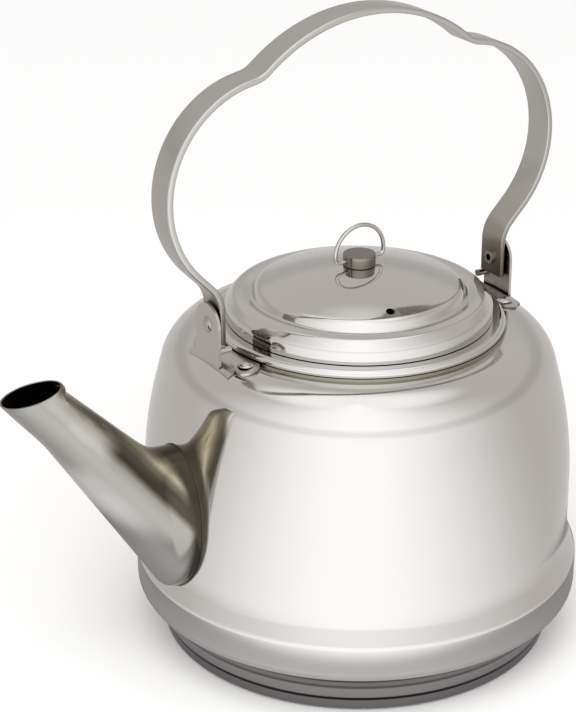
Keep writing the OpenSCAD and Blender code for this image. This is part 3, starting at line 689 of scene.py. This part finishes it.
tail_end = (STRIP_X - STRIP_T / 2, PIVOT_H - TAIL)
upright_end = (tail_end[0], PIVOT_H + UPRIGHT)
lobe_heading = math.pi / 2 - SPLAY
dip_heading = lobe_heading + LOBE_TURN
grip_heading = dip_heading - DIP_TURN
half = [tail_end, upright_end] + arc_from(upright_end, math.pi / 2, SPLAY_R, -SPLAY, 14)
half.append(straight_from(half[-1], lobe_heading, SPLAY_RUN))
half += arc_from(half[-1], lobe_heading, LOBE_R, LOBE_TURN, 60)
half.append(straight_from(half[-1], dip_heading, LOBE_RUN))
half += arc_from(half[-1], dip_heading, DIP_R, -DIP_TURN, 10)
grip_r = half[-1][0] / math.sin(math.pi - grip_heading)
half += arc_from(half[-1], grip_heading, grip_r, math.pi - grip_heading, 24)
strip_line = filled_in(half + [(-x, z) for x, z in reversed(half[:-1])], 2.5)


def strip_section(outer_round=1.0, inner_round=0.45, steps=4):
    """Cross-section of the strip: (across, outwards), with its four edges rounded."""
    out = []
    w, t = STRIP_W / 2, STRIP_T / 2
    for sx, sy, radius in ((1, 1, outer_round), (-1, 1, outer_round), (-1, -1, inner_round),
                           (1, -1, inner_round)):
        start = {(1, 1): 0, (-1, 1): 90, (-1, -1): 180, (1, -1): 270}[(sx, sy)]
        for i in range(steps + 1):
            a = math.radians(start + 90 * i / steps)
            out.append((sx * (w - radius) + radius * math.cos(a), sy * (t - radius) + radius * math.sin(a)))
    return out


def swept(line, section):
    """Rings of a section carried along a line in the XZ plane."""
    rings = []
    for i, p in enumerate(line):
        a = line[max(i - 1, 0)]
        b = line[min(i + 1, len(line) - 1)]
        t = unit((b[0] - a[0], b[1] - a[1]))
        outward = (t[1], -t[0])
        rings.append([(p[0] + outward[0] * o, across, p[1] + outward[1] * o) for across, o in section])
    return rings


strip = lofted("bail_strip", swept(strip_line, strip_section()), capped=True, angle=30)
drilled(strip, [drill(PIVOT_HOLE_R, (side * PIVOT_DRILL_X, 0, PIVOT_H), PIVOT_DRILL, axis="X")
                for side in (1, -1)])
smooth(strip)
dress(strip, satin_strip)
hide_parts("handle_strip")
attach(strip, "handle")


# ---- lid ----

dome_sag = DOME_RISE - DOME_EDGE
dome_ball = (DOME_R ** 2 + dome_sag ** 2) / (2 * dome_sag)


def dome_at(r):
    """Height of the dome at a radius."""
    return LID_H + DOME_RISE - dome_ball + math.sqrt(dome_ball ** 2 - r * r)


lid_line = [(DOME_R * i / 30, dome_at(DOME_R * i / 30)) for i in range(31)]
lid_line += [(r, LID_H + h) for r, h in rounded([
    (DOME_R, DOME_EDGE, 0),
    (DOME_R + DOME_STEP_W, DOME_EDGE - DOME_STEP_DROP, LID_ROUNDS[0]),
    (*GROOVE, LID_ROUNDS[1]),
    (*CREST, LID_ROUNDS[2]),
    (*OUTER_CREST, LID_ROUNDS[3]),
    (LID_R, LID_EDGE_H, LID_ROUNDS[4]),
    (LID_R, 0, 0)], 8) if r > DOME_R]
lid = turned("lid_dome", sheet_outline(filled_in(lid_line, 1.5), -LID_SHEET), sides=180)
vent_at = (VENT_AT * math.cos(VENT_ANGLE), VENT_AT * math.sin(VENT_ANGLE), VENT_DRILL_H)
drilled(lid, [drill(VENT_R, vent_at, LID_DRILL),
              drill(SCREW_HOLE_R, (0, 0, SCREW_DRILL_H), LID_DRILL)])
smooth(lid)
dress(lid, buffed_lid)
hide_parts("lid_shell")
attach(lid, "lid")

skirt_r = MOUTH_R - SKIRT_GAP
skirt_top = LID_H + GROOVE[1] - LID_SHEET - WELD_GAP
collar = turned("lid_skirt", sheet_outline(filled_in(rounded([
    (skirt_r, LID_H - SKIRT_DEPTH, 0), (skirt_r, skirt_top, SKIRT_ROUND),
    (SKIRT_IN_R, skirt_top, 0)], 8), 3), LID_SHEET), sides=128)
dress(collar, buffed_sheet)
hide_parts("lid_collar")
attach(collar, "lid")

knob = turned("lid_button", filled_in(rounded([
    (0, DOME_TOP, 0), (KNOB_R - KNOB_CHAMFER, DOME_TOP, 0), (KNOB_R, DOME_TOP + KNOB_CHAMFER, 0),
    (KNOB_R, DOME_TOP + KNOB_H, KNOB_ROUND), (0, DOME_TOP + KNOB_H, 0)], 6), 2), sides=96)
drilled(knob, [drill(WIRE_HOLE_R, (side * KNOB_R, 0, HINGE_H), WIRE_HOLE_DEPTH, axis="X")
               for side in (1, -1)])
smooth(knob)
dress(knob, turned_bar)
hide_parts("knob")
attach(knob, "lid")


# ---- wire ring ----

loop = [(LOOP_R * math.cos(a), LOOP_R * math.sin(LOOP_LEG) + LOOP_R * math.sin(a))
        for a in [-LOOP_LEG + (math.pi + 2 * LOOP_LEG) * i / 60 for i in range(61)]]
foot = rounded([(KNOB_R - WIRE_IN, 0, 0), (loop[0][0], 0, WIRE_BEND_R), (*loop[2], 0)], 8)
wire_path = filled_in(foot + loop[3:-3] + [(-x, z) for x, z in reversed(foot)], 1.0)
wire_section = [(WIRE_R * math.cos(math.tau * i / 20), WIRE_R * math.sin(math.tau * i / 20))
                for i in range(20)]


def leaned(x, y, z):
    """A point of the upright ring, turned about its feet by the small lean at rest."""
    return (x, y * math.cos(LOOP_LEAN) + z * math.sin(LOOP_LEAN),
            HINGE_H + z * math.cos(LOOP_LEAN) - y * math.sin(LOOP_LEAN))


wire_rings = [[leaned(*point) for point in turn] for turn in swept(wire_path, wire_section)]
wire = lofted("lid_wire", wire_rings, capped=True, angle=50)
dress(wire, drawn_wire)
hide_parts("wire_ring")
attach(wire, "ring")


# ---- small CAD pieces, joined and shaded smooth ----

SMALL = {
    "floor_pan": ("kettle", "inner_steel", mill_sheet),
    "front_bracket": ("kettle", "polished_steel", tumbled_bracket),
    "rear_bracket": ("kettle", "polished_steel", tumbled_bracket),
    "front_flange_rivets": ("kettle", "rivet_steel", bright_rivet),
    "rear_flange_rivets": ("kettle", "rivet_steel", bright_rivet),
    "front_stop_stud": ("kettle", "rivet_steel", bright_rivet),
    "rear_stop_stud": ("kettle", "rivet_steel", bright_rivet),
    "front_pivot_rivet": ("kettle", "rivet_steel", hollow_rivet),
    "rear_pivot_rivet": ("kettle", "rivet_steel", hollow_rivet),
    "front_pivot_washer": ("kettle", "rivet_steel", bright_rivet),
    "rear_pivot_washer": ("kettle", "rivet_steel", bright_rivet),
}
for node, (carrier, slot, material) in SMALL.items():
    piece = dressed_copy(node)
    dress(piece, material)
    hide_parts(node)
    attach(piece, carrier)

for node in ("heat_disc", "front_burr_washers", "rear_burr_washers", "knob_screw", "knob_washer"):
    dress(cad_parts[node], mill_sheet)


# ---- studio: white paper, a broad soft light on the camera's side, a dimmer room behind ----

LIGHT_SIDE = (0.559, 0.829, 0.0)
ROOM_LEVEL, LIGHT_LEVEL = 0.66, 0.94
ROOM_TINT = (1.03, 1.0, 0.99)
LIGHT_TINT = (0.945, 1.0, 1.055)
LIGHT_EDGE, LIGHT_FALL = -0.2, 1.6
OVERHEAD_FROM, OVERHEAD_TO, OVERHEAD_SHARE = 0.80, 0.98, 0.8
DIM_BELOW, DIM_ABOVE, DIM_LEVEL = (0.05, 0.22), (0.46, 0.30), 0.84
FLOOR_SIZE, FLOOR_DROP = 8, 0.0004
PAPER_ROUGHNESS = 0.9
# Painted shadow of the kettle on the mirrored floor: its brightness by distance from the kettle's axis, in
# metres
SHADE_STOPS = ((0.084, 0.28), (0.0865, 0.29), (0.0895, 0.37), (0.124, 0.50), (0.139, 0.45),
               (0.1435, 0.47), (0.147, 0.56), (0.151, 0.78), (0.160, 1.0))
LAMP_AT, LAMP_SIZE, LAMP_ENERGY = (0.56, 0.83, 0.9), 1.2, 7
CAMERA_AT = (0.4801, 0.7118, 0.5008)
CAMERA_TURN = (math.radians(66.22), 0, math.radians(147.99))
CAMERA_SENSOR, CAMERA_LENS, CAMERA_NEAR = 36, 111.34, 0.01


def light_share(material, place):
    """How much of the soft light is seen towards a place: 1 on the camera's side, 0 behind."""
    flat = add_node(material, "ShaderNodeVectorMath", {"operation": "MULTIPLY"}, {1: (1, 1, 0)},
                    {0: place})
    way = add_node(material, "ShaderNodeVectorMath", {"operation": "NORMALIZE"}, None,
                   {0: (flat, "Vector")})
    facing = add_node(material, "ShaderNodeVectorMath", {"operation": "DOT_PRODUCT"}, {1: LIGHT_SIDE},
                      {0: (way, "Vector")})
    share = add_node(material, "ShaderNodeMapRange", None,
                     {"From Min": LIGHT_EDGE, "From Max": 1.0, "To Min": 0.0, "To Max": 1.0},
                     {"Value": (facing, "Value")})
    return add_node(material, "ShaderNodeMath", {"operation": "POWER"}, {1: LIGHT_FALL},
                    {0: (share, "Result")})


def studio_colour(material, share):
    """The tint and level of the room with that share of the soft light."""
    room = tuple(c * ROOM_LEVEL for c in ROOM_TINT)
    extra = tuple(c * LIGHT_LEVEL for c in LIGHT_TINT)
    return add_node(material, "ShaderNodeVectorMath", {"operation": "MULTIPLY_ADD"},
                    {0: extra, 2: room}, {1: share})


start_alone()
bpy.ops.mesh.primitive_plane_add(size=FLOOR_SIZE, location=(0, 0, -FLOOR_DROP))
floor = named("studio_floor")
paper = bpy.data.materials.new("white_paper")
paper.use_nodes = True
paper_shader = paper.node_tree.nodes["Principled BSDF"]
paper_shader.inputs["Roughness"].default_value = PAPER_ROUGHNESS
paper_shader.inputs["Specular IOR Level"].default_value = 0.0
seen = add_node(paper, "ShaderNodeLightPath")
tone = add_node(paper, "ShaderNodeMix", {"data_type": "RGBA"},
                {"A": linear("#cac6c1"), "B": linear("#f7f6f4")}, {"Factor": (seen, "Is Camera Ray")})
coloured(paper, tone, "Result")

# What the steel mirrors of the paper glows with painted light: as bright as the studio there, dim in a
# painted shadow round the kettle's foot
spot = add_node(paper, "ShaderNodeTexCoord")
distance = add_node(paper, "ShaderNodeVectorMath", {"operation": "LENGTH"}, None,
                    {0: (spot, "Object")})
shade = add_node(paper, "ShaderNodeValToRGB", None, None, {"Fac": (distance, "Value")})
fill_ramp(shade, [(radius, (bright, bright, bright, 1)) for radius, bright in SHADE_STOPS])
mirrored = studio_colour(paper, (light_share(paper, (spot, "Object")), "Value"))
shaded = add_node(paper, "ShaderNodeVectorMath", {"operation": "MULTIPLY"}, None,
                  {0: (mirrored, "Vector"), 1: (shade, "Color")})
glow = add_node(paper, "ShaderNodeEmission", None, {"Strength": 1.0}, {"Color": (shaded, "Vector")})
reflected = add_node(paper, "ShaderNodeMath", {"operation": "MAXIMUM"}, None,
                     {0: (seen, "Is Glossy Ray"), 1: (seen, "Is Transmission Ray")})
paper_seen = add_node(paper, "ShaderNodeMixShader", None, None,
                      {"Fac": (reflected, "Value"), 1: (paper_shader, "BSDF"), 2: (glow, "Emission")})
paper.node_tree.links.new(paper_seen.outputs["Shader"],
                          paper.node_tree.nodes["Material Output"].inputs["Surface"])
dress(floor, paper)

world = bpy.data.worlds.new("studio")
bpy.context.scene.world = world
world.use_nodes = True
world.node_tree.nodes.clear()
sky = add_node(world, "ShaderNodeTexCoord")
height = add_node(world, "ShaderNodeSeparateXYZ", None, None, {"Vector": (sky, "Generated")})
overhead = add_node(world, "ShaderNodeMapRange", SOFT_STEP,
                    {"From Min": OVERHEAD_FROM, "From Max": OVERHEAD_TO,
                     "To Min": 0.0, "To Max": OVERHEAD_SHARE},
                    {"Value": (height, "Z")})
share = add_node(world, "ShaderNodeMath", {"operation": "MAXIMUM"}, None,
                 {0: (light_share(world, (sky, "Generated")), "Value"), 1: (overhead, "Result")})
around = studio_colour(world, (share, "Value"))
# Between the paper and the soft light overhead lies a slightly dimmer strip
dim_below = add_node(world, "ShaderNodeMapRange", SOFT_STEP,
                     {"From Min": DIM_BELOW[0], "From Max": DIM_BELOW[1]}, {"Value": (height, "Z")})
dim_above = add_node(world, "ShaderNodeMapRange", SOFT_STEP,
                     {"From Min": DIM_ABOVE[0], "From Max": DIM_ABOVE[1]}, {"Value": (height, "Z")})
dimmer = add_node(world, "ShaderNodeMath", {"operation": "MULTIPLY"}, None,
                  {0: (dim_below, "Result"), 1: (dim_above, "Result")})
full = add_node(world, "ShaderNodeMapRange", None, {"To Min": 1.0, "To Max": DIM_LEVEL},
                {"Value": (dimmer, "Value")})
light = add_node(world, "ShaderNodeBackground", None, None,
                 {"Color": (around, "Vector"), "Strength": (full, "Result")})
plain_white = add_node(world, "ShaderNodeBackground", None, {"Color": (1, 1, 1, 1), "Strength": 1.0})
ray = add_node(world, "ShaderNodeLightPath")
shown = add_node(world, "ShaderNodeMixShader", None, None,
                 {"Fac": (ray, "Is Camera Ray"), 1: (light, "Background"), 2: (plain_white, "Background")})
add_node(world, "ShaderNodeOutputWorld", None, None, {"Surface": (shown, "Shader")})

# A broad lamp over the camera's side of the floor; the steel doesn't mirror the lamp itself
start_alone()
bpy.ops.object.light_add(type="AREA", location=LAMP_AT)
lamp = named("floor_light")
lamp.data.size = LAMP_SIZE
lamp.data.energy = LAMP_ENERGY
lamp.visible_glossy = False

# Camera at the photograph's angle
bpy.ops.object.camera_add(location=CAMERA_AT, rotation=CAMERA_TURN)
camera = bpy.context.active_object
camera.data.sensor_width = CAMERA_SENSOR
camera.data.lens = CAMERA_LENS
camera.data.clip_start = CAMERA_NEAR
bpy.context.scene.camera = camera

bpy.context.scene.view_settings.view_transform = "Standard"
